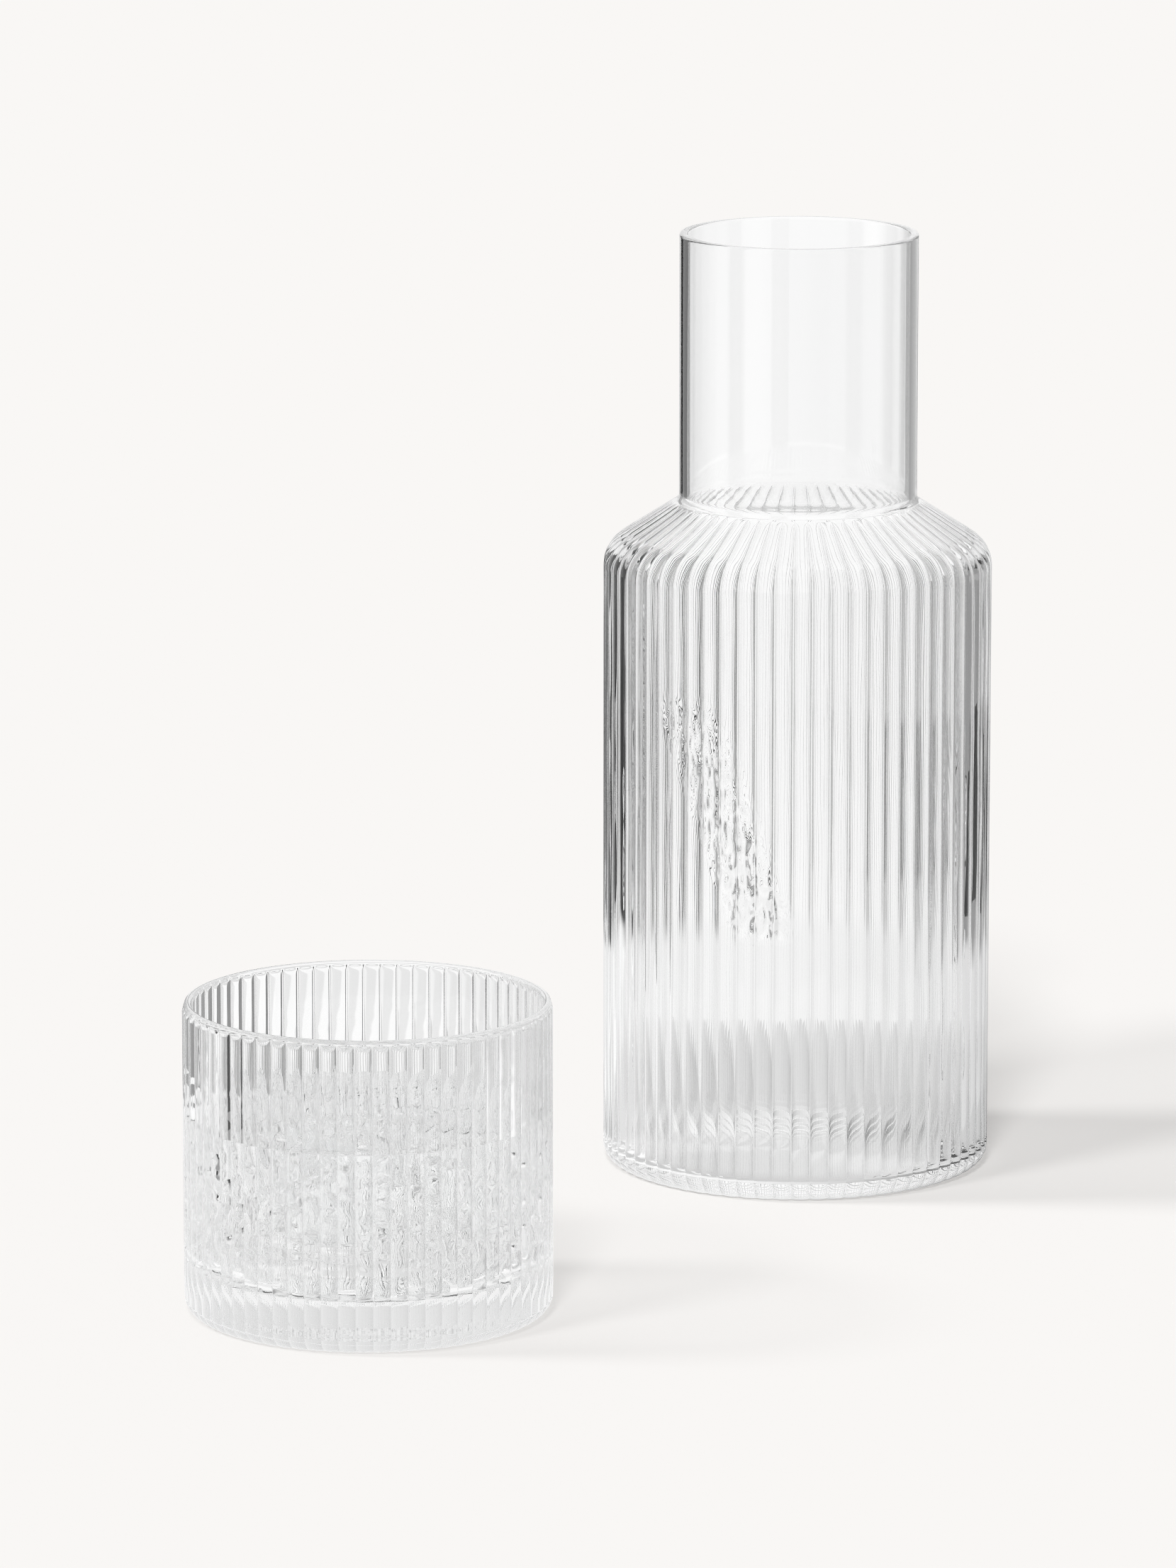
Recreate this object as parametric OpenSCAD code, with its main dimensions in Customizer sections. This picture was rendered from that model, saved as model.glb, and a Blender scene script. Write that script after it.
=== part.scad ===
// A ribbed glass carafe and its tumbler of iced water, standing side by side on one table.
// The origin is the middle of the carafe's foot, +Z is up and the tumbler stands in front, at -Y.

/* [Carafe] */
// Diameter of the body over the crests of its ribs
carafe_d = 90; // [86:0.5:96]
// Height of the whole carafe
carafe_h = 218.5; // [208:0.5:232]
// Outer diameter of the smooth neck
neck_d = 55; // [52:0.5:58]
// Thickness of the neck's wall
neck_wall = 1.9; // [1.6:0.1:2.2]
// Height at which the shoulder would meet the neck
shoulder_top = 156.6; // [150:0.2:162]
// Fall of the shoulder below the level, in degrees
shoulder_slope = 32.5; // [29:0.5:36]
// Outer radius of the bend from body to shoulder
bend_r = 8; // [6:0.5:9]
// Thickness of the body's wall at a crest
carafe_wall = 2.6; // [2.2:0.1:3]
// Thickness of the carafe's floor at its edge
carafe_floor = 3.5; // [3:0.1:5]
// Outer radius of the carafe's heel
carafe_heel_r = 4; // [3:0.5:5]

/* [Tumbler] */
// Diameter of the tumbler over the crests of its ribs
tumbler_d = 81; // [80:0.5:86]
// Height of the tumbler
tumbler_h = 69.6; // [66:0.2:74]
// Thickness of the tumbler's wall at a crest
tumbler_wall = 2; // [1.8:0.1:2.2]
// Thickness of the tumbler's heavy floor
tumbler_floor = 10.5; // [9:0.1:11.5]
// Outer radius of the tumbler's heel
tumbler_heel_r = 4; // [3:0.5:5]
// Height of the smooth band under the tumbler's rim
rim_band = 2; // [1.5:0.1:3]
// Tumbler's place to the left of the carafe
tumbler_left = 96.6; // [90:0.2:120]
// Tumbler's place in front of the carafe
tumbler_front = 138.4; // [110:0.2:160]

/* [Ribs] */
// Ribs round the carafe
carafe_ribs = 65; // [60:1:70]
// Ribs round the tumbler
tumbler_ribs = 66; // [60:1:70]
// Depth of the valleys between ribs
rib_depth = 0.6; // [0.4:0.05:0.8]

/* [Water and ice] */
// Height of the water above the table
water_h = 43.3; // [42.5:0.1:45]
// Gap between water and glass, and between water and ice
skin = 0.15; // [0.1:0.05:0.2]
// Edge of an ice cube, as a share of the tumbler's inner radius
ice_share = 0.65; // [0.6:0.01:0.66]

/* [Hidden] */
$fn = 96;
ball_fn = 160;
glass_colour = [0.86, 0.9, 0.92, 0.45];
water_colour = [0.78, 0.87, 0.92, 0.6];
ice_colour = [0.93, 0.96, 0.98];

// Small radii and depths of the moulded glass.
carafe_corner_r = 3;
tumbler_corner_r = 8;
neck_fillet = 1.5;
lip_round = 0.6;
fade_h = 3.2;
carafe_dish_r = 34;
carafe_dish_depth = 1.2;
tumbler_dish_r = 29;
tumbler_dish_depth = 1.6;
// How far a cut runs on past the lip that it opens.
overrun = 2;
// Flat strips across one rib, along a heel and round the bend.
rib_strips = 4;
heel_steps = 3;
bend_steps = 4;

carafe_r = carafe_d / 2;
neck_r = neck_d / 2;
bore_r = neck_r - neck_wall;
body_bore_r = carafe_r - carafe_wall;

// The bend's centre lies where the sloping shoulder and the upright body both touch its arc.
bend_turn = 90 - shoulder_slope;
bend_x = carafe_r - bend_r;
touch_x = bend_x + bend_r * cos(bend_turn);
bend_z = shoulder_top - (touch_x - neck_r) * tan(shoulder_slope) - bend_r * sin(bend_turn);
inner_bend_r = bend_r - carafe_wall;
inner_touch = [bend_x, bend_z] + inner_bend_r * [cos(bend_turn), sin(bend_turn)];
inner_neck_z = inner_touch[1] + (inner_touch[0] - bore_r) * tan(shoulder_slope);
// The ribs stop on the shoulder just outside the neck's fillet.
rib_end_r = neck_r + neck_fillet + rib_depth;
rib_end_z = shoulder_top - (rib_end_r - neck_r) * tan(shoulder_slope);

// The smooth band stands between the crests and the valleys, and the ribs fade into it.
band_share = 0.65;
fade_shares = [0.35, 0.7, 1];
ledge_share = 0.1;
tumbler_r = tumbler_d / 2;
tumbler_bore_r = tumbler_r - tumbler_wall;
fade_r = tumbler_r - rib_depth * band_share;
band_r = fade_r - rib_depth * ledge_share;
rim_round = (band_r - tumbler_bore_r) / 2;
fade_top = tumbler_h - rim_band;

// Each cube's middle: across and along as shares of the bore, and its depth under the water and
// its height as shares of the edge. The ball that rounds a cube is a share of the edge too.
ice_edge = tumbler_bore_r * ice_share;
ice_front_shares = [-0.17, -0.51, -0.38, 0.96];
ice_left_shares = [-0.51, 0.22, -0.25, 1];
ice_right_shares = [0.52, -0.15, -0.44, 0.96];
ice_back_shares = [0.2, 0.52, -0.42, 0.94];
ice_ball_share = 0.65;
ice_front_turn = [9, 14, 16];
ice_left_turn = [-6, 15, -30];
ice_right_turn = [4, -5, 16];
ice_back_turn = [-4, 5, 28];

// One ring of a ribbed wall at a crest radius and height. Each rib bows out between two valleys.
function ring(ribs, crest_r, depth, z) = [
  for (i = [0 : ribs * rib_strips - 1])
    let (turn = 360 * i / (ribs * rib_strips), off = abs(2 * (i % rib_strips) / rib_strips - 1))
    (crest_r - depth * off * off) * [cos(turn), sin(turn), 0] + [0, 0, z]
];

// A closed wall through a list of [crest radius, valley depth, height] rings, with flat ends.
module ribbed(ribs, rings) {
  n = ribs * rib_strips;
  last = len(rings) - 1;
  points = concat(
    [for (r = rings) each ring(ribs, r[0], r[1], r[2])],
    [[0, 0, rings[0][2]], [0, 0, rings[last][2]]]
  );
  base = len(points) - 2;
  faces = concat(
    [for (k = [0 : last - 1], i = [0 : n - 1])
      let (a = k * n + i, b = k * n + (i + 1) % n) [a, a + n, b + n, b]],
    [for (i = [0 : n - 1]) [base, i, (i + 1) % n]],
    [for (i = [0 : n - 1]) [base + 1, last * n + (i + 1) % n, last * n + i]]
  );
  polyhedron(points, faces, convexity = 6);
}

// Rings of a rounded heel: a quarter arc from the table to the upright wall.
function heel_rings(r, heel_r) = [
  for (k = [0 : heel_steps])
    let (turn = 90 * k / heel_steps, crest = r - heel_r * (1 - sin(turn)))
    [crest, rib_depth * crest / r, heel_r * (1 - cos(turn))]
];

// Rings of the bend: the ribs stay in proportion to the radius all the way over it.
function bend_rings() = [
  for (k = [0 : bend_steps])
    let (turn = bend_turn * k / bend_steps, crest = bend_x + bend_r * cos(turn))
    [crest, rib_depth * crest / carafe_r, bend_z + bend_r * sin(turn)]
];

// The body and shoulder: ribs run up the wall, over the bend and in towards the neck.
module carafe_outside() {
  ribbed(carafe_ribs, concat(
    heel_rings(carafe_r, carafe_heel_r),
    bend_rings(),
    [[rib_end_r, rib_depth * rib_end_r / carafe_r, rib_end_z]]
  ));
}

// The smooth neck, with a fillet at its foot and a ground lip with rounded edges.
module neck_outside() {
  root_z = rib_end_z - carafe_wall;
  lip_z = carafe_h - lip_round;
  rotate_extrude() {
    translate([0, root_z]) square([neck_r, lip_z - root_z]);
    translate([0, lip_z - lip_round]) square([neck_r - lip_round, 2 * lip_round]);
    translate([neck_r - lip_round, lip_z]) circle(lip_round);
    difference() {
      translate([0, root_z]) square([neck_r + neck_fillet, rib_end_z + neck_fillet - root_z]);
      translate([neck_r + neck_fillet, rib_end_z + neck_fillet]) circle(neck_fillet);
    }
  }
}

// The hollow of the carafe: body, bend, shoulder and neck in one turned shape.
module carafe_hollow() {
  corner_x = body_bore_r - carafe_corner_r;
  corner_z = carafe_floor + carafe_corner_r;
  top = carafe_h + overrun;
  rotate_extrude() {
    translate([0, corner_z]) square([body_bore_r, bend_z - corner_z]);
    translate([0, carafe_floor]) square([corner_x, carafe_corner_r]);
    translate([corner_x, corner_z]) circle(carafe_corner_r);
    translate([bend_x, bend_z]) circle(inner_bend_r);
    polygon([[0, bend_z], [bend_x, bend_z], inner_touch, [bore_r, inner_neck_z], [0, inner_neck_z]]);
    translate([0, carafe_floor]) square([bore_r, top - carafe_floor]);
    // The inner edge of the lip is eased as well.
    polygon([
      [0, carafe_h - lip_round],
      [bore_r, carafe_h - lip_round],
      [bore_r + lip_round, carafe_h],
      [bore_r + lip_round, top],
      [0, top]
    ]);
  }
}

// A shallow dish in the underside leaves a ring to stand on.
module foot_dish(dish_r, depth) {
  ball_r = (dish_r * dish_r + depth * depth) / (2 * depth);
  translate([0, 0, depth - ball_r]) sphere(ball_r, $fn = ball_fn);
}

module carafe() {
  color(glass_colour)
  difference() {
    union() {
      carafe_outside();
      neck_outside();
    }
    carafe_hollow();
    foot_dish(carafe_dish_r, carafe_dish_depth);
  }
}

// Ribs run up the tumbler and fade into a smooth band under its rim.
module tumbler_outside() {
  ribbed(tumbler_ribs, concat(
    heel_rings(tumbler_r, tumbler_heel_r),
    [[tumbler_r, rib_depth, fade_top - fade_h]],
    [for (share = fade_shares)
      let (ease = share * share)
      [tumbler_r - (tumbler_r - fade_r) * ease, rib_depth * (1 - ease), fade_top - fade_h * (1 - share)]]
  ));
}

// The smooth band and the fully rounded rim.
module tumbler_rim() {
  root_z = fade_top - fade_h;
  rim_z = tumbler_h - rim_round;
  rotate_extrude() {
    translate([0, root_z]) square([band_r, rim_z - root_z]);
    translate([band_r - rim_round, rim_z]) circle(rim_round);
  }
}

// The hollow of the tumbler up to a height, drawn in from the glass by a gap.
module tumbler_hollow(gap, top) {
  r = tumbler_bore_r - gap;
  corner_r = tumbler_corner_r - gap;
  low = tumbler_floor + gap;
  rotate_extrude() {
    translate([0, low + corner_r]) square([r, top - low - corner_r]);
    translate([0, low]) square([r - corner_r, corner_r]);
    translate([r - corner_r, low + corner_r]) circle(corner_r);
  }
}

module at_tumbler() {
  translate([-tumbler_left, -tumbler_front, 0]) children();
}

module tumbler() {
  color(glass_colour)
  at_tumbler()
  difference() {
    union() {
      tumbler_outside();
      tumbler_rim();
    }
    tumbler_hollow(0, tumbler_h + overrun);
    foot_dish(tumbler_dish_r, tumbler_dish_depth);
  }
}

// A melting cube: a block whose corners and edges a ball has rounded away. It floats with its
// crown above the water, at its own tilt, and can be grown by a gap to cut its room in the water.
module ice(shares, turn, gap) {
  translate([shares[0] * tumbler_bore_r, shares[1] * tumbler_bore_r, water_h + shares[2] * ice_edge])
  rotate(turn)
  intersection() {
    cube([ice_edge + 2 * gap, ice_edge + 2 * gap, ice_edge * shares[3] + 2 * gap], center = true);
    sphere(ice_edge * ice_ball_share + gap, $fn = ball_fn);
  }
}

module ice_front() {
  color(ice_colour) at_tumbler() ice(ice_front_shares, ice_front_turn, 0);
}

module ice_left() {
  color(ice_colour) at_tumbler() ice(ice_left_shares, ice_left_turn, 0);
}

module ice_right() {
  color(ice_colour) at_tumbler() ice(ice_right_shares, ice_right_turn, 0);
}

module ice_back() {
  color(ice_colour) at_tumbler() ice(ice_back_shares, ice_back_turn, 0);
}

// The water fills the glass to its level, round the ice.
module water() {
  color(water_colour)
  at_tumbler()
  difference() {
    tumbler_hollow(skin, water_h);
    ice(ice_front_shares, ice_front_turn, skin);
    ice(ice_left_shares, ice_left_turn, skin);
    ice(ice_right_shares, ice_right_turn, skin);
    ice(ice_back_shares, ice_back_turn, skin);
  }
}

carafe();
tumbler();
water();
ice_front();
ice_left();
ice_right();
ice_back();
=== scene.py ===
# A ribbed glass carafe and its tumbler of iced water on a pale table, dressed round the
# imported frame.
import math
import random

import bmesh
import bpy
import numpy as np
from mathutils import Euler, Matrix, Vector, noise


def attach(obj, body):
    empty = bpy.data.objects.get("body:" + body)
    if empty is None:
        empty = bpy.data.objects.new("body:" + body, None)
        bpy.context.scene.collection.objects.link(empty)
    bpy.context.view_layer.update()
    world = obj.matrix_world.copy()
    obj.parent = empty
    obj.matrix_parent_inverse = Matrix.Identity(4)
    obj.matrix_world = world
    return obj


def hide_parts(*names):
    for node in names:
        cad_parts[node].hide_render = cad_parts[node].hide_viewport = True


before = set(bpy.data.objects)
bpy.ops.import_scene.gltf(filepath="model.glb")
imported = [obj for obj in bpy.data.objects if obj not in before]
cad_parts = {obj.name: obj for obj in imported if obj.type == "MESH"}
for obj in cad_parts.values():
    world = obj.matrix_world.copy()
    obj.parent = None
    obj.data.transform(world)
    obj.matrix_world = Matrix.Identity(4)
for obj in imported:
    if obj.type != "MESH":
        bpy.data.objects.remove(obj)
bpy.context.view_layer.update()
scene = bpy.context.scene
mm = 0.001


# Camera, solved on the outlines of the photograph.
view = {
    "place": (-48.516, -2069.53, 515.078),  # mm
    "pitchDown": 0.2030,  # radians
    "focalPixels": 12814.98,
    "frameHeight": 2212,
    "sensor": 36,
}


def makeCamera():
    lens = bpy.data.cameras.new("camera")
    camera = bpy.data.objects.new("camera", lens)
    scene.collection.objects.link(camera)
    lens.sensor_width = view["sensor"]
    lens.lens = view["focalPixels"] * view["sensor"] / view["frameHeight"]
    lens.clip_start, lens.clip_end = 0.05, 50
    camera.location = Vector(view["place"]) * mm
    camera.rotation_euler = Euler((math.pi / 2 - view["pitchDown"], 0, 0))
    scene.camera = camera


makeCamera()
print("camera made")


# Shader maths as Python expressions.
class Wire:
    def __init__(self, graph, socket):
        self.graph, self.socket = graph, socket

    def math(self, operation, *others):
        values = dict(enumerate((self, *others)))
        return self.graph.node("Math", {"operation": operation}, values)

    def __add__(self, other):
        return self.math("ADD", other)

    def __mul__(self, other):
        return self.math("MULTIPLY", other)

    def __sub__(self, other):
        return self.math("SUBTRACT", other)

    def __rsub__(self, other):
        return self.graph.node("Math", {"operation": "SUBTRACT"}, {0: other, 1: self})

    def __truediv__(self, other):
        return self.math("DIVIDE", other)

    def __pow__(self, other):
        return self.math("POWER", other)

    __radd__, __rmul__ = __add__, __mul__


class Graph:
    def __init__(self, owner):
        owner.use_nodes = True
        self.tree = owner.node_tree
        self.tree.nodes.clear()

    def node(self, kind, settings=None, inputs=None, output=0):
        made = self.tree.nodes.new("ShaderNode" + kind)
        for name, value in (settings or {}).items():
            if name == "stops":
                ramp = made.color_ramp.elements
                ramp[0].position, ramp[1].position = value[0][0], value[-1][0]
                for position, _ in value[1:-1]:
                    ramp.new(position)
                for element, (position, colour) in zip(ramp, value):
                    element.color = colour
            else:
                setattr(made, name, value)
        for name, value in (inputs or {}).items():
            if isinstance(value, Wire):
                self.tree.links.new(value.socket, made.inputs[name])
            else:
                made.inputs[name].default_value = value
        return Wire(self, made.outputs[output])

    def finish(self, kind, shader):
        out = self.tree.nodes.new("ShaderNode" + kind)
        self.tree.links.new(shader.socket, out.inputs["Surface"])


def grey(value, tint=(1, 1, 1)):
    return (value * tint[0], value * tint[1], value * tint[2], 1)


def blend(graph, factor, first, second, kind="MIX"):
    settings = {"data_type": "RGBA", "blend_type": kind}
    return graph.node("Mix", settings, {0: factor, 6: first, 7: second}, output=2)


def spread(graph, value, start, end, low=0.0, high=1.0, kind="LINEAR"):
    # Turns start into low and end into high.
    inputs = {"Value": value, "From Min": start, "From Max": end, "To Min": low, "To Max": high}
    return graph.node("MapRange", {"interpolation_type": kind}, inputs)


def ease(graph, value, start, end):
    # 1 up to start, falling softly to 0 at end.
    return spread(graph, value, start, end, 1.0, 0.0, "SMOOTHSTEP")


def lightPath(graph, *names):
    return [graph.node("LightPath", output=name) for name in names]


def toneRamp(graph, share, stops):
    # Grey tones by a share of the last stop's position.
    stops = [(at / stops[-1][0], grey(tone)) for at, tone in stops]
    return graph.node("ValToRGB", {"stops": stops}, {"Fac": share})


# Studio: pale floor and backdrop, soft daylight, and dark flags just out of the picture that
# draw the edges of clear glass. Only glass sees the flags.
studio = {
    "paleColour": (0.956, 0.939, 0.922),
    "throughGlass": 1.0,  # how white glass sees the room and the table behind it
    "floorAlbedo": 0.93,
    "skyStrength": 0.475,
    # way the shadow falls and height in degrees, strength and width in degrees
    "suns": [(-1, 41, 0.86, 12), (40, 44, 0.66, 12), (82, 46, 0.95, 10)],
    "floorHalf": 6.0,
    # metres from the carafe over which the table's near tones turn to the far ones
    "fallOff": (0.235, 0.275),
    # painted shade: how pale the far table looks through glass, by direction from the carafe in
    # degrees
    "seenThrough": [
        (0, 0.46), (60, 0.46), (68, 0.50), (71, 1.0), (107.5, 1.0), (109.5, 0.04), (124, 0.04),
        (127, 1.0), (143, 1.0), (146, 0.2), (162, 0.3), (174, 1.0), (188, 1.0), (200, 0.5),
        (290, 0.5), (305, 1.0), (325, 1.0), (340, 0.46), (360, 0.46),
    ],
    # the same painted shade for rays thrown back inside the edge of one wall
    "seenEdge": [
        (0, 0.30), (64, 0.30), (70, 0.6), (78, 1.0), (91, 1.0), (95, 0.02), (165, 0.02),
        (180, 1.0), (190, 1.0), (200, 0.30), (290, 0.30), (300, 0.30), (360, 0.30),
    ],
    # painted shade: how pale the near table looks through glass, to all rays
    "seenNear": [
        (0, 0.76), (62, 0.76), (70, 0.80), (76, 0.94), (104, 0.94), (110, 0.84), (125, 0.84),
        (128, 1.0), (143, 1.0), (147, 0.75), (162, 0.75), (174, 1.0), (188, 1.0), (200, 0.85),
        (290, 0.85), (305, 1.0), (325, 1.0), (340, 0.78), (360, 0.76),
    ],
    # the shade that lies behind the carafe: centre and reach in metres, how full its outline
    # bows, and tone left and right
    "shade": {"centre": (0.005, 0.040), "reach": (0.066, 0.102), "bow": 1.8, "tones": (0.60, 0.88)},
    # how strong the shade is from its centre outward
    "shadeStrength": [(0, 1.0), (0.96, 1.0), (1.0, 0.0), (2, 0.0)],
    # light gathered under and behind the tumbler: centre, reach and patch size in metres, the
    # noise levels of its darkest and palest patches, their tones, and the share left and right
    "gathered": {
        "centre": (-0.0966, -0.115), "reach": (0.045, 0.11), "patch": 0.005, "detail": 2.5,
        "levels": (0.32, 0.55), "tones": (0.38, 1.08), "sides": (0.80, 1.02),
    },
    # painted shade: tones of the table in reflections, by direction from the carafe
    "mirrored": [
        (0, 0.1), (40, 0.15), (90, 0.7), (150, 1.0), (250, 1.0), (280, 0.75), (310, 0.35),
        (340, 0.1), (360, 0.1),
    ],
    # foot x and y of both ends and height range in metres, shade at the left and right end, and
    # how far the top of the second end leans back towards the first
    "flags": {
        "flagLeft": ((-0.150, 0.230), (-0.106, 0.254), (0.0, 0.45), (0.0, 0.0), 0.012),
        "flagRight": ((0.235, 0.215), (0.154, 0.291), (0.0, 0.045), (0.03, 0.03)),
        "flagRightFar": ((0.255, 0.75), (0.55, 0.62), (0.0, 0.5), (0.42, 0.40)),
        "flagTumblerLeft": ((-0.270, 0.01), (-0.168, 0.07), (0.0, 0.12), (0.25, 0.25)),
        "paleHeel": ((-0.150, -0.086), (-0.050, -0.086), (0.0005, 0.020), (0.58, 0.90)),
        "flagSideLeft": ((-0.259, 0.188), (-0.306, 0.094), (0.0, 0.45), (0.02, 0.02)),
        "flagFrontLeft": ((-0.340, -0.104), (-0.288, -0.209), (0.0, 0.45), (0.02, 0.02)),
        "flagFrontRight": ((0.055, -0.345), (0.165, -0.309), (0.0, 0.45), (0.02, 0.02)),
        "flagSideRight": ((0.310, -0.165), (0.345, -0.055), (0.0, 0.45), (0.02, 0.02)),
    },
    # the darker side of the room, which only reflections see
    "roomSide": ((0.10, -0.70), (0.60, 0.35), (0.0, 0.9), (0.95, 0.05)),
}


def makeWorld():
    world = bpy.data.worlds.new("studio")
    scene.world = world
    graph = Graph(world)

    def backdrop(colour, strength):
        return graph.node("Background", {}, {"Color": colour, "Strength": strength})

    rays = ("Is Camera Ray", "Is Transmission Ray", "Is Glossy Ray")
    camera, through, glossy = lightPath(graph, *rays)
    seen = backdrop((*studio["paleColour"], 1), 1.0)
    behind = backdrop(grey(1), studio["throughGlass"])
    sky = backdrop(grey(1), studio["skyStrength"])
    shown = graph.node("MixShader", {}, {0: through + glossy, 1: sky, 2: behind})
    graph.finish("OutputWorld", graph.node("MixShader", {}, {0: camera, 1: shown, 2: seen}))


def makeObject(name, mesh, material=None, smooth=True):
    piece = bpy.data.objects.new(name, mesh)
    scene.collection.objects.link(piece)
    if material:
        mesh.materials.append(material)
    if smooth:
        mesh.shade_smooth()
    return piece


def makeCard(name, near, far, heights, shades, lean=0.0):
    # A standing card that glows evenly from its left shade to its right one, seen only by glass.
    low, high = heights
    top = Vector(far) + (Vector(near) - Vector(far)).normalized() * lean
    mesh = bpy.data.meshes.new(name)
    mesh.from_pydata([(*near, low), (*far, low), (*top, high), (*near, high)], [], [(0, 1, 2, 3)])
    paint = bpy.data.materials.new(name)
    graph = Graph(paint)
    along = graph.node("SeparateXYZ", {}, {0: graph.node("TexCoord", output="Generated")})
    shade = spread(graph, along, 0.0, 1.0, *shades)
    graph.finish("OutputMaterial", graph.node("Emission", {}, {"Color": shade, "Strength": 1.0}))
    paint.cycles.emission_sampling = "NONE"
    card = makeObject(name, mesh, paint, smooth=False)
    card.visible_camera = card.visible_diffuse = card.visible_shadow = False
    return card


def shadeBehind(graph, seen, x, y):
    # The soft shade on the table behind the carafe.
    shade, strength = studio["shade"], studio["shadeStrength"]
    (cx, cy), (rx, ry), bow = shade["centre"], shade["reach"], shade["bow"]
    spot = ((x - cx).math("ABSOLUTE") / rx) ** bow + ((y - cy).math("ABSOLUTE") / ry) ** bow
    spot = toneRamp(graph, spot / strength[-1][0], strength)
    return blend(graph, spot, seen, spread(graph, x, -rx, rx, *shade["tones"]), "MULTIPLY")


def gatheredLight(graph, seen, place, x, y, where):
    # Patches of light that the tumbler gathers on the table.
    pool = studio["gathered"]
    (cx, cy), (inner, outer) = pool["centre"], pool["reach"]
    spot = ease(graph, ((x - cx) ** 2 + (y - cy) ** 2).math("SQRT"), inner, outer) * where
    patches = graph.node("TexNoise", {}, {
        "Vector": place, "Scale": 1 / pool["patch"], "Detail": pool["detail"],
    })
    tone = spread(graph, patches, *pool["levels"], *pool["tones"])
    tone = tone * spread(graph, x, cx - inner, cx + inner, *pool["sides"])
    return blend(graph, spot, seen, tone, "MULTIPLY")


oneWall = 2.5  # faces crossed: fewer is one wall, more is further in


def paintTable(graph):
    # Painted shade and light on the table that glass sees, first through it, then in reflections.
    place = graph.node("TexCoord", output="Object")
    x, y = [graph.node("SeparateXYZ", {}, {0: place}, output=axis) for axis in "XY"]
    way = y.math("ARCTAN2", x) / (2 * math.pi)
    way = way - way.math("FLOOR")
    kinds = ("seenThrough", "seenEdge", "seenNear", "mirrored")
    through, edge, near, mirrored = [toneRamp(graph, way, studio[kind]) for kind in kinds]
    # A ray that crossed no more than two faces was in one wall, and it met that wall's edge if
    # it was thrown back there.
    crossed, thrown = lightPath(graph, "Transmission Depth", "Glossy Depth")
    edgeOnly = crossed.math("LESS_THAN", oneWall) * thrown.math("GREATER_THAN", 0.5)
    far = blend(graph, edgeOnly, through, edge)
    away = spread(graph, (x * x + y * y).math("SQRT"), *studio["fallOff"], kind="SMOOTHSTEP")
    seen = shadeBehind(graph, blend(graph, away, near, far), x, y)
    beyond = crossed.math("GREATER_THAN", oneWall)
    return gatheredLight(graph, seen, place, x, y, beyond), mirrored


def makeFloor():
    half = studio["floorHalf"]
    corners = [(-half, -half, 0), (half, -half, 0), (half, half, 0), (-half, half, 0)]
    mesh = bpy.data.meshes.new("floor")
    mesh.from_pydata(corners, [], [(0, 1, 2, 3)])
    paint = bpy.data.materials.new("paleTable")
    graph = Graph(paint)
    tint = [c / studio["paleColour"][0] for c in studio["paleColour"]]
    plain = graph.node("BsdfDiffuse", {}, {"Color": grey(studio["floorAlbedo"], tint)})
    # Through glass and in reflections the table glows with painted shade and light, not lamp light.
    behind, mirrored = [
        graph.node("Emission", {}, {"Color": tones, "Strength": studio["throughGlass"]})
        for tones in paintTable(graph)
    ]
    through, glossy = lightPath(graph, "Is Transmission Ray", "Is Glossy Ray")
    shown = graph.node("MixShader", {}, {0: glossy, 1: plain, 2: mirrored})
    graph.finish("OutputMaterial", graph.node("MixShader", {}, {0: through, 1: shown, 2: behind}))
    paint.cycles.emission_sampling = "NONE"
    makeObject("floor", mesh, paint, smooth=False)


def makeSun(number, falls, height, strength, width):
    sun = bpy.data.lights.new("sun%d" % number, "SUN")
    sun.energy = strength
    sun.angle = math.radians(width)
    lamp = bpy.data.objects.new(sun.name, sun)
    scene.collection.objects.link(lamp)
    falls, height = math.radians(falls), math.radians(height)
    flat = math.cos(height)
    source = Vector((-math.cos(falls) * flat, -math.sin(falls) * flat, math.sin(height)))
    lamp.rotation_euler = source.to_track_quat("Z", "Y").to_euler()
    lamp.visible_glossy = lamp.visible_transmission = False


def makeStudio():
    makeWorld()
    makeFloor()
    for name, card in studio["flags"].items():
        makeCard(name, *card).visible_glossy = "Side" not in name and "Front" not in name
    makeCard("roomSide", *studio["roomSide"]).visible_transmission = False
    for number, sun in enumerate(studio["suns"]):
        makeSun(number, *sun)


makeStudio()
print("studio made")


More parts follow.
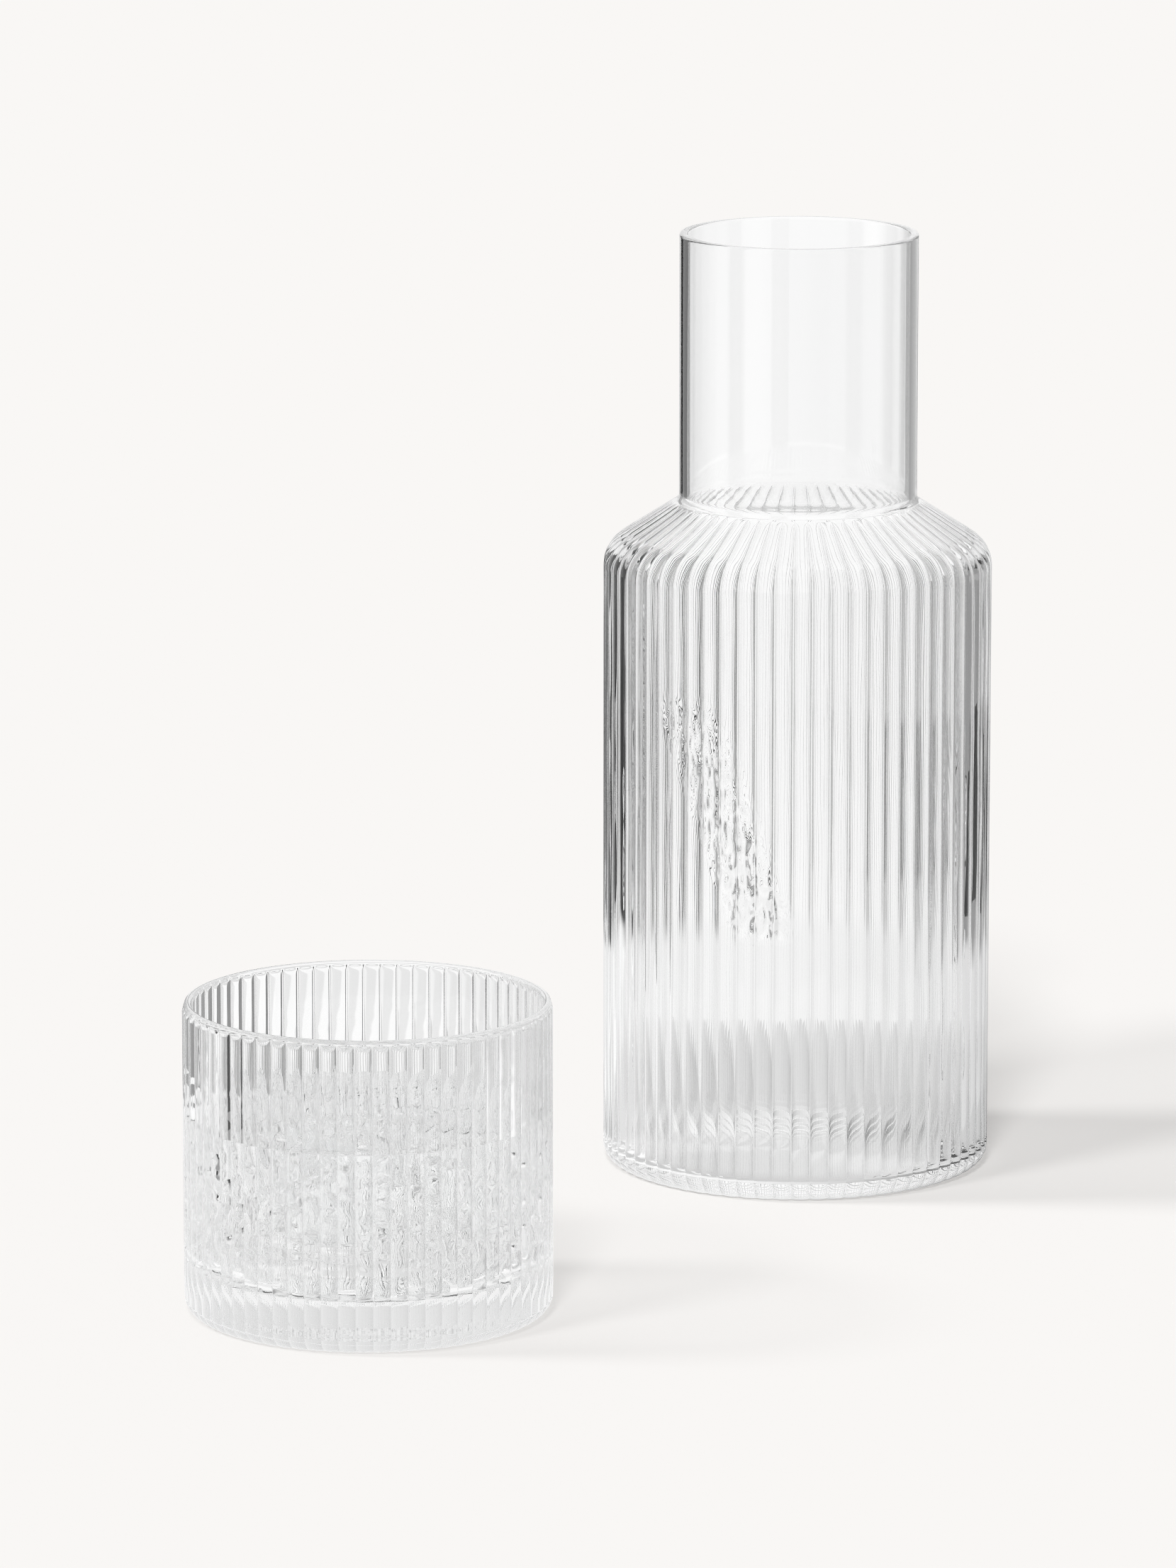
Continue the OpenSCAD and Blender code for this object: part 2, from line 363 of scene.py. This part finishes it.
# Glass, water and ice bend what is seen through them, and let lamps and soft daylight through.
def clearMaterial(name, settings, where=None):
    material = bpy.data.materials.new(name)
    graph = Graph(material)
    place = graph.node("TexCoord", output="Object")

    def cloud(wide, tall):
        stretch = (1 / (wide * mm), 1 / (wide * mm), 1 / (tall * mm))
        stretched = graph.node("VectorMath", {"operation": "MULTIPLY"}, {0: place, 1: stretch})
        return graph.node("TexNoise", {}, {"Vector": stretched, "Scale": 1.0, "Detail": 1.0})

    # A faint drift of tint in the melt, and a faint relief on the faces.
    drift = cloud(driftSize, driftSize)
    tint = blend(graph, drift, (*settings["colour"], 1), (*settings["drift"], 1))
    height = 0.0
    for wide, tall, depth, local in settings["relief"]:
        wave = cloud(wide, tall) * (depth * mm)
        height = (wave * where(graph, place) if local else wave) + height
    glass = graph.node("BsdfPrincipled", {}, {
        "Base Color": tint,
        "Roughness": settings["roughness"],
        "IOR": settings["ior"],
        "Transmission Weight": 1.0,
        "Normal": graph.node("Bump", {}, {"Height": height, "Strength": 1.0, "Distance": 1.0}),
    })
    # Lamps and daylight pass straight through, with more lost where the wall is seen edge on.
    facing = graph.node("LayerWeight", {}, {"Blend": settings["shadeBlend"]}, output="Facing")
    passed = settings["shadeClear"] - facing * settings["shadeEdge"]
    shadow, scattered = lightPath(graph, "Is Shadow Ray", "Is Diffuse Ray")
    clear = graph.node("BsdfTransparent", {}, {"Color": grey(1)})
    share = shadow * passed + scattered * settings["skyClear"]
    graph.finish("OutputMaterial", graph.node("MixShader", {}, {0: share, 1: glass, 2: clear}))
    return material


# the band of flecks: place of its top and height of its foot in metres, metres sideways for each
# metre down, half width in metres, the even share of that, and how much stronger it is at the foot
flecks = {
    "left": -0.024, "top": 0.110, "foot": 0.060, "slant": 0.34, "half": 0.008, "core": 0.4,
    "growth": 1.8,
}


def inFlecks(graph, place):
    # A slanting band of stronger unevenness down the left of the carafe's front.
    x, y, z = [graph.node("SeparateXYZ", {}, {0: place}, output=axis) for axis in "XYZ"]
    f = flecks
    seat = (z - f["top"]) * f["slant"] + x - f["left"]
    across = ease(graph, seat.math("ABSOLUTE"), f["half"] * f["core"], f["half"])
    above = ease(graph, z, f["top"], f["top"] + f["half"])
    below = 1.0 - ease(graph, z, f["foot"], f["foot"] + f["half"])
    growing = 1.0 + (f["top"] - z) * (f["growth"] / (f["top"] - f["foot"]))
    return across * above * below * growing * y.math("LESS_THAN", 0.0)


driftSize = 30.0  # mm, of the patches of tint
# relief: width, height and depth of the waves in mm, and whether they keep to the band of flecks
clearGlass = {
    "colour": (1.0, 1.0, 1.0), "drift": (0.992, 0.993, 0.992), "roughness": 0.0, "ior": 1.5,
    "shadeBlend": 0.5, "shadeClear": 0.86, "shadeEdge": 0.5, "skyClear": 0.99,
    "relief": [(1.8, 40.0, 0.006, False), (2.2, 5.0, 0.55, True)],
}
tumblerLook = dict(clearGlass, shadeClear=0.96, shadeEdge=0.25, relief=[(1.8, 30.0, 0.006, False)])
tableWater = {
    "colour": (1.0, 1.0, 1.0), "drift": (0.994, 0.997, 0.997), "roughness": 0.0, "ior": 1.333,
    "shadeBlend": 0.5, "shadeClear": 1.0, "shadeEdge": 0.02, "skyClear": 1.0,
    "relief": [(9.0, 9.0, 0.01, False)],
}
# the ice bends light less than solid ice would, as it is full of air
meltingIce = {
    "colour": (1.0, 1.0, 1.0), "drift": (0.985, 0.988, 0.988), "roughness": 0.0, "ior": 1.22,
    "shadeBlend": 0.5, "shadeClear": 1.0, "shadeEdge": 0.04, "skyClear": 1.0,
    "relief": [(1.6, 1.6, 0.01, False)],
}


# Turned and ribbed walls. A ring is crest radius, height and valley depth in mm, and its share of
# the waves if it has any. A wall is a closed list of rings from the middle of the underside, up the
# outside and down the inside to the middle of the floor. Close rings hold the ends of the bends.
def arc(centre, radius, start, end, steps):
    angles = np.radians(np.linspace(start, end, steps + 1))
    return [(centre[0] + radius * math.cos(a), centre[1] + radius * math.sin(a)) for a in angles]


def ribOffsets(vessel):
    # How far each point round the wall lies from crest (0) to valley (1). Crests are broad and
    # valleys narrow, as on pressed glass, and the strips crowd at the valleys.
    ribs, strips, roundness = vessel["ribs"], vessel["strips"], vessel["roundness"]
    share = np.arange(strips) / strips * 2 - 1
    across = np.sign(share) * np.abs(share) ** vessel["crowding"]
    offset = (1 - np.sqrt(1 - (roundness * across) ** 2)) / (1 - math.sqrt(1 - roundness ** 2))
    angles = (np.arange(ribs)[:, None] + (across[None, :] + 1) / 2) * (2 * math.pi / ribs)
    return angles.ravel() + math.radians(vessel["turn"]), np.tile(offset, ribs)


def waviness(angles, height, radius, waves):
    # Slow streaks down the wall and finer unevenness, as blown and pressed glass has inside.
    total = np.zeros(len(angles))
    for depth, wide, tall, seed in waves:
        shift = Vector((seed, seed * 0.37, height / tall))
        for k, angle in enumerate(angles):
            around = Vector((math.cos(angle), math.sin(angle), 0)) * (radius / wide)
            total[k] += depth * noise.noise(around + shift)
    return total


def lathe(name, rings, angles, offsets, centre=(0, 0), waves=()):
    n = len(angles)
    lowPole, highPole = rings[0], rings[-1]
    body = rings[1:-1]
    points = np.zeros((len(body) * n + 2, 3))
    for k, (r, z, depth, *wavy) in enumerate(body):
        radius = r - depth * offsets
        if wavy:
            radius = radius + wavy[0] * waviness(angles, z, r, waves)
        ring = [radius * np.cos(angles), radius * np.sin(angles), np.full(n, z)]
        points[k * n:(k + 1) * n] = np.stack(ring, 1)
    points[-2] = (0, 0, lowPole[1])
    points[-1] = (0, 0, highPole[1])
    points[:, 0] += centre[0]
    points[:, 1] += centre[1]
    j = np.arange(n)
    after = (j + 1) % n
    quads = np.concatenate([
        np.stack([k * n + j, k * n + after, (k + 1) * n + after, (k + 1) * n + j], 1)
        for k in range(len(body) - 1)
    ])
    last = (len(body) - 1) * n
    low = np.stack([np.full(n, len(points) - 2), after, j], 1)
    high = np.stack([np.full(n, len(points) - 1), last + j, last + after], 1)
    mesh = bpy.data.meshes.new(name)
    mesh.from_pydata((points * mm).tolist(), [], quads.tolist() + low.tolist() + high.tolist())
    mesh.validate()
    return mesh


def underside(vessel, outer):
    # The dished middle and the flat foot ring.
    dish, depth = vessel["dishRadius"], vessel["dishDepth"]
    rings = [(0, depth, 0)]
    rings += [(dish * share, depth * (1 - share ** 2), 0) for share in (0.4, 0.8, 0.95)]
    return rings + [(dish + 0.8, 0.02, 0), (dish + 1.8, 0, 0), (outer - vessel["heel"] - 1.0, 0, 0)]


def plainRings(points, *extra):
    return [(x, z, 0, *extra) for x, z in points]


carafe = {
    "bodyRadius": 44.95, "height": 218.5, "neckRadius": 27.5, "neckWall": 1.9, "wall": 2.6,
    "floor": 3.5, "heel": 4.0, "beads": 0.6, "corner": 3.0, "fillet": 1.4, "lip": 0.6,
    "shoulderTop": 156.6, "slope": 32.5, "bend": 8.0,
    "innerBend": 9.0, "rootRound": 2.0, "shoulderWall": 0.95,
    "dishRadius": 34.0, "dishDepth": 1.2,
    "ribs": 65, "ribDepth": 0.6, "strips": 12, "roundness": 0.97, "crowding": 0.6, "turn": 1.66,
    "ribEnd": 3.0,  # mm over which the ribs run out at the top
    "wallRings": 26,
    # depth, width and height of the wall's waves in mm, and a seed
    "waves": [(0.18, 7.0, 60.0, 3.1), (0.09, 3.0, 12.0, 8.7)],
}


def carafeRings(c):
    outer, nr, d = c["bodyRadius"], c["neckRadius"], c["ribDepth"]
    bore, bodyBore = nr - c["neckWall"], outer - c["wall"]
    turned = 90 - c["slope"]
    steep, lean = math.tan(math.radians(c["slope"])), 1 / math.cos(math.radians(c["slope"]))
    across, up = math.cos(math.radians(turned)), math.sin(math.radians(turned))
    bx = outer - c["bend"]
    touchX = bx + c["bend"] * across
    bz = c["shoulderTop"] - (touchX - nr) * steep - c["bend"] * up
    rings = underside(c, outer)
    # The ribs end in beads round the heel.
    for x, z in arc((outer - c["heel"], c["heel"]), c["heel"], -90, 0, 14):
        rings.append((x, z, d * (1 + c["beads"] * math.sin(math.pi * z / c["heel"]))))
    rings += [(outer, c["heel"] + 0.4, d), (outer, bz - 0.4, d)]
    rings += [(x, z, d * x / outer) for x, z in arc((bx, bz), c["bend"], 0, turned, 10)]
    # The ribs run out just before the small round at the foot of the neck.
    f = c["fillet"]
    endR = nr + f * (1 - across) + 0.3
    for gap in (6.0, 3.0, 2.0, 1.3, 0.7, 0.2, 0.0):
        x = min(touchX - 0.3, endR + gap)
        share = min(1.0, gap / c["ribEnd"])
        depth = d * x / outer * math.sin(share * math.pi / 2)
        rings.append((x, c["shoulderTop"] - (x - nr) * steep, depth))
    fz = c["shoulderTop"] - f * steep + f * lean
    rings += plainRings(arc((nr + f, fz), f, 180 + turned, 180, 5))
    top, lip = c["height"], c["lip"]
    rings += [(nr, fz + 0.4, 0), (nr, top - lip - 0.3, 0)]
    rings += plainRings(arc((nr - lip, top - lip), lip, 0, 90, 5))
    rings += plainRings(arc((bore + lip, top - lip), lip, 90, 180, 5))
    rings.append((bore, top - lip - 0.3, 0))
    # Inside, broad rounds lead from the neck to the shoulder and from the shoulder to the wall.
    # The shoulder is thinner than the body, as it is stretched when the bottle is blown.
    slopeZ = c["shoulderTop"] + (nr - bore) * steep - c["shoulderWall"] * lean
    g, q = c["rootRound"], c["innerBend"]
    gz = slopeZ - g * steep + g * lean
    rings.append((bore, gz + 0.4, 0))
    rings += plainRings(arc((bore + g, gz), g, 180, 180 + turned, 7))
    qx = bodyBore - q
    qz = slopeZ - (qx - bore) * steep - q * lean
    rings += plainRings(arc((qx, qz), q, turned, 0, 8), 0.5)
    k, floor = c["corner"], c["floor"]
    for step in range(c["wallRings"] + 1):
        share = step / c["wallRings"]
        rings.append((bodyBore, (qz - 1) * (1 - share) + (floor + k + 0.6) * share, 0, 1.0))
    rings += plainRings(arc((bodyBore - k, floor + k), k, 0, -90, 9), 0.5)
    rings += [(bodyBore - k - 0.6, floor, 0), (20, floor, 0), (0, floor, 0)]
    return rings


tumbler = {
    "centre": (-96.6, -138.4), "radius": 40.49, "height": 69.6, "wall": 1.99, "floor": 10.5,
    "heel": 4.0, "corner": 8.0, "band": 1.1, "bandShare": 0.7, "fade": 1.6,
    "dishRadius": 29.0, "dishDepth": 1.6,
    "ribs": 66, "ribDepth": 0.6, "strips": 12, "roundness": 0.97, "crowding": 0.6, "turn": 0.0,
    # the waves are full up to wetTo, fade over wetEdge and keep a share of dryWaves above
    "wallRings": 58, "wetTo": 42.0, "wetEdge": 0.8, "dryWaves": 0.15,
    "waves": [(0.20, 6.0, 14.0, 5.3), (0.30, 2.6, 2.6, 1.9)],
}


def tumblerRings(t):
    outer, d = t["radius"], t["ribDepth"]
    bore = outer - t["wall"]
    bandR = outer - d * t["bandShare"]
    lip = (bandR - bore) / 2
    top = t["height"]
    fadeTop = top - t["band"]
    rings = underside(t, outer)
    heel = arc((outer - t["heel"], t["heel"]), t["heel"], -90, 0, 9)
    rings += [(x, z, d * x / outer) for x, z in heel]
    rings += [(outer, t["heel"] + 0.4, d), (outer, fadeTop - t["fade"] - 0.4, d)]
    # The ribs fade into the smooth band under the rim.
    for share in np.linspace(0, 1, 8):
        drawnIn = 1 - math.sqrt(1 - share ** 2)
        z = fadeTop - t["fade"] * (1 - share)
        rings.append((outer - (outer - bandR) * drawnIn, z, d * (1 - drawnIn)))
    rings.append((bandR, top - lip - 0.2, 0))
    rings += plainRings(arc((bandR - lip, top - lip), lip, 0, 180, 10))
    rings.append((bore, top - lip - 0.3, 0))
    k, floor = t["corner"], t["floor"]
    for step in range(t["wallRings"] + 1):
        share = step / t["wallRings"]
        z = (top - 3) * (1 - share) + (floor + k + 0.5) * share
        wet = 1 / (1 + math.exp((z - t["wetTo"]) / t["wetEdge"]))
        wavy = min(1.0, 4 * share) * (t["dryWaves"] + (1 - t["dryWaves"]) * wet)
        rings.append((bore, z, 0, wavy))
    rings += plainRings(arc((bore - k, floor + k), k, 0, -90, 12), 1.0)
    rings += [(bore - k - 0.6, floor, 0), (15, floor, 0), (0, floor, 0)]
    return rings


def makeGlassware():
    glass = clearMaterial("clearGlass", clearGlass, inFlecks)
    shape = (carafeRings(carafe), *ribOffsets(carafe))
    vessel = makeObject("carafeGlass", lathe("carafeGlass", *shape, waves=carafe["waves"]), glass)
    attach(vessel, "carafe")
    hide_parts("carafe")
    glass = clearMaterial("tumblerGlass", tumblerLook)
    shape = (tumblerRings(tumbler), *ribOffsets(tumbler), tumbler["centre"], tumbler["waves"])
    drinking = makeObject("tumblerGlass", lathe("tumblerGlass", *shape), glass)
    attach(drinking, "tumbler")
    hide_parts("tumbler")


makeGlassware()
print("glassware made")


# Melting ice: rounded cubes with a worn, dimpled skin.
bore = tumbler["radius"] - tumbler["wall"]
# water line, overlap with glass and ice, and rise at the wall in mm, then how far in the rise
# reaches and how fast it falls
water = {"level": 43.3, "overlap": 0.05, "meniscus": 1.1, "creep": 1.2, "creepFall": 1.6}
# place from the tumbler's axis by its bore, middle above the water line and own height by the
# cube's edge, and turns in degrees
cubes = {
    "ice_front": ([-0.17, -0.51, -0.38, 0.96], [9, 14, 16]),
    "ice_left": ([-0.51, 0.22, -0.25, 1.0], [-6, 15, -30]),
    "ice_right": ([0.52, -0.15, -0.44, 0.96], [4, -5, 16]),
    "ice_back": ([0.2, 0.52, -0.42, 0.94], [-4, 5, 28]),
}
iceLook = {
    "edge": 0.65,  # of a cube, by the tumbler's bore
    # cuts along an edge, corner rounding in mm, the ball that takes the corners off by the edge,
    # how sharply it does so, and mm melted off all round
    "grid": 44, "round": 3.0, "ball": 0.65, "ballSharpness": 24, "melted": 0.45,
    # depth and size of the worn skin's dimples in mm
    "wear": [(0.42, 5.0), (0.22, 2.4), (0.05, 1.0)],
    # sizes in mm, how widely they scatter, and the share of the cube that holds them all
    "bubbles": 150, "bubbleSize": (0.12, 0.6), "bubbleSpread": 0.55, "hollowReach": 0.72,
    "cracks": 7, "crackSize": (2.0, 5.0), "crackGap": 0.05, "crackSpread": 0.9,
    # how far a crack moves in towards the middle, and how high and close its warps are
    "crackInward": 0.6, "crackWarp": 6.0, "crackWaves": 1.3,
}
edge = bore * iceLook["edge"]


def iceSkin(half, grow, seed):
    bm = bmesh.new()
    bmesh.ops.create_cube(bm, size=2)
    bmesh.ops.subdivide_edges(bm, edges=bm.edges[:], cuts=iceLook["grid"], use_grid_fill=True)
    ball, rr, sharpness = edge * iceLook["ball"], iceLook["round"], iceLook["ballSharpness"]
    for v in bm.verts:
        p = np.array(v.co) * half
        core = np.clip(p, -(half - rr), half - rr)
        away = p - core
        length = np.linalg.norm(away)
        q = core + away / length * rr if length > 1e-9 else p
        reach = np.linalg.norm(q)
        # The ball takes the corners off softly.
        over = math.log(1 + math.exp((1 - reach / ball) * -sharpness))
        soft = ball * (1 - over / sharpness)
        if reach > soft:
            q = q * soft / reach
        worn = -iceLook["melted"]
        # Each cube and each size of dimple has its own part of the noise.
        for number, (depth, size) in enumerate(iceLook["wear"]):
            shift = Vector((seed * 13.7, seed * 3.1 + number * 5.3, number * 2.9))
            worn += depth * noise.noise(Vector(q) / size + shift)
        v.co = Vector(q) + Vector(q).normalized() * (worn + grow)
    return bm


def addHollows(bm, half, seed):
    # Trapped air: bubbles strung out from the middle, and thin cracks, with walls facing inward.
    draw = random.Random(100 + seed)
    inner = half * iceLook["hollowReach"]
    high, waves = iceLook["crackWarp"], iceLook["crackWaves"]
    for number in range(iceLook["bubbles"] + iceLook["cracks"]):
        crack = number >= iceLook["bubbles"]
        reach = iceLook["crackSpread"] if crack else iceLook["bubbleSpread"]
        seat = Vector([draw.gauss(0, 0.5) * reach * inner[k] for k in range(3)])
        seat = Vector([max(-inner[k], min(inner[k], seat[k])) for k in range(3)])
        if crack:
            wide = draw.uniform(*iceLook["crackSize"]) / 2
            size = Vector((wide, wide * draw.uniform(0.5, 1.0), iceLook["crackGap"]))
            turn = Euler([draw.uniform(0, math.pi) for _ in range(3)]).to_matrix().to_4x4()
            seat *= iceLook["crackInward"]
        else:
            wide = draw.uniform(*iceLook["bubbleSize"])
            size = Vector((wide, wide, wide * draw.choice((1.0, 1.0, 1.6, 3.0))))
            turn = seat.to_track_quat("Z", "Y").to_matrix().to_4x4()
        made = bmesh.ops.create_icosphere(bm, subdivisions=3 if crack else 2, radius=1)
        for v in made["verts"]:
            if crack:
                warp = noise.noise(Vector((v.co.x * waves + number, v.co.y * waves, seed)))
                v.co.z += high * warp
            v.co = turn @ Vector([v.co[k] * size[k] for k in range(3)]) + seat
        bmesh.ops.reverse_faces(bm, faces=list({f for v in made["verts"] for f in v.link_faces}))


def iceMesh(name, shares, turn, grow, seed, hollow=False):
    half = np.array([edge / 2, edge / 2, edge * shares[3] / 2])
    bm = iceSkin(half, grow, seed)
    if hollow:
        addHollows(bm, half, seed)
    mesh = bpy.data.meshes.new(name)
    bm.to_mesh(mesh)
    bm.free()
    place = Matrix.Translation((
        tumbler["centre"][0] + shares[0] * bore,
        tumbler["centre"][1] + shares[1] * bore,
        water["level"] + shares[2] * edge,
    )) @ Euler([math.radians(a) for a in turn]).to_matrix().to_4x4()
    mesh.transform(Matrix.Scale(mm, 4) @ place)
    return mesh


def waterRings():
    r = bore + water["overlap"]
    k = tumbler["corner"] + water["overlap"]
    low = tumbler["floor"] - water["overlap"]
    level, rise = water["level"], water["meniscus"]
    rings = [(0, low, 0), (15, low, 0), (r - k - 0.6, low, 0)]
    rings += plainRings(arc((r - k, low + k), k, -90, 0, 14))
    rings.append((r, low + k + 0.4, 0))
    rings.append((r, level + rise, 0))
    for share in (0.08, 0.18, 0.3, 0.45, 0.65, 0.9, 1.3, 1.9, 2.6, 3.6):
        height = level + rise * math.exp(-share * water["creepFall"])
        rings.append((r - share * water["creep"], height, 0))
    rings += [(r - 7, level, 0), (15, level, 0), (0, level, 0)]
    return rings


def applied(piece):
    evaluated = piece.evaluated_get(bpy.context.evaluated_depsgraph_get())
    mesh = bpy.data.meshes.new_from_object(evaluated)
    piece.modifiers.clear()
    piece.data = mesh


def makeDrink():
    wet = clearMaterial("tableWater", tableWater)
    frozen = clearMaterial("meltingIce", meltingIce)
    sides = 512
    around = np.arange(sides) * (2 * math.pi / sides)
    fill = lathe("waterFill", waterRings(), around, np.zeros(sides), tumbler["centre"])
    drink = makeObject("waterFill", fill, wet)
    for seed, (node, (shares, turn)) in enumerate(cubes.items()):
        cutter = makeObject("cutter", iceMesh("cutter", shares, turn, -water["overlap"], seed))
        cut = drink.modifiers.new("cut", "BOOLEAN")
        cut.operation, cut.solver, cut.object = "DIFFERENCE", "MANIFOLD", cutter
        applied(drink)
        bpy.data.objects.remove(cutter)
        cube = iceMesh(node, shares, turn, 0, seed, hollow=True)
        cube = makeObject(node.replace("ice_", "iceCube_"), cube, frozen)
        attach(cube, "tumbler")
        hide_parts(node)
    drink.data.materials.clear()
    drink.data.materials.append(wet)
    drink.data.shade_smooth()
    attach(drink, "tumbler")
    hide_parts("water")


makeDrink()
print("drink made")

# Enough bounces for two ribbed walls with water, ice and bubbles between them.
scene.view_settings.view_transform = "Standard"
bounces = 160
scene.cycles.max_bounces = scene.cycles.transmission_bounces = scene.cycles.glossy_bounces = bounces
scene.cycles.transparent_max_bounces = 32
scene.cycles.filter_width = 1.1
